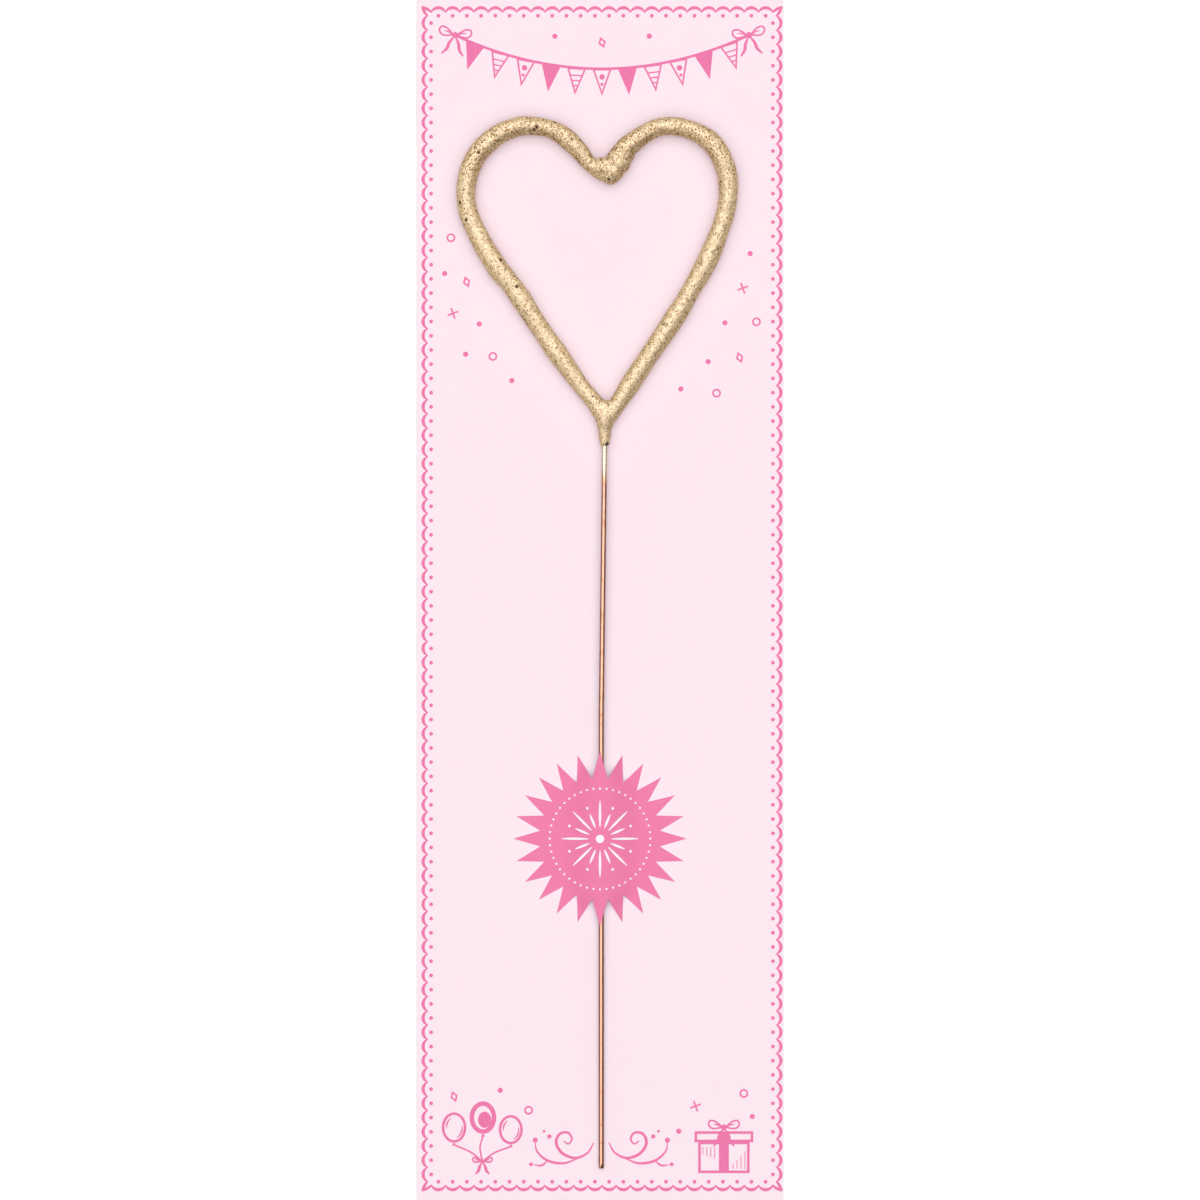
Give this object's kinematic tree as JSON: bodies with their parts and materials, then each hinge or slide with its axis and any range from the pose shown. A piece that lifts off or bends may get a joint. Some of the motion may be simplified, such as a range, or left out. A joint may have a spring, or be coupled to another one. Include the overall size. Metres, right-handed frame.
{
  "type": "carded sparkler",
  "caption": "Heart-shaped hand sparkler: wire wand with a gold-coated heart loop, held flat on a long printed backing card by a starburst sticker; the wand slides out and the sticker peels.",
  "frame": {"origin": "middle of the card's back face, which the part lies on", "axes": "+X across the card to the right, +Y up the card towards the heart, +Z out of the printed face"},
  "size_m": [0.0698, 0.2286, 0.0049],
  "materials": {
    "card_board": "matte",
    "sticker_paper": "satin",
    "adhesive": "gloss",
    "copper_wire": "gloss",
    "composition": "matte",
    "gold_lacquer": "satin"
  },
  "bodies": {
    "card": {"backing_card": "card_board"},
    "sticker": {"starburst_sticker": "sticker_paper", "sticker_adhesive": "adhesive"},
    "wand": {"core_wire": "copper_wire", "sparkler_composition": "composition", "gold_lacquer": "gold_lacquer"}
  },
  "joints": [
    {"name": "wand_slide", "type": "slide", "parent": "card", "child": "wand", "axis": [0, 1, 0.0096], "range_m": [0, 0.08]},
    {"name": "sticker_peel", "type": "hinge", "parent": "card", "child": "sticker", "pos_m": [-0.0165, -0.04545, 0.00067], "axis": [0, -1, 0], "range_deg": [0, 110]}
  ]
}
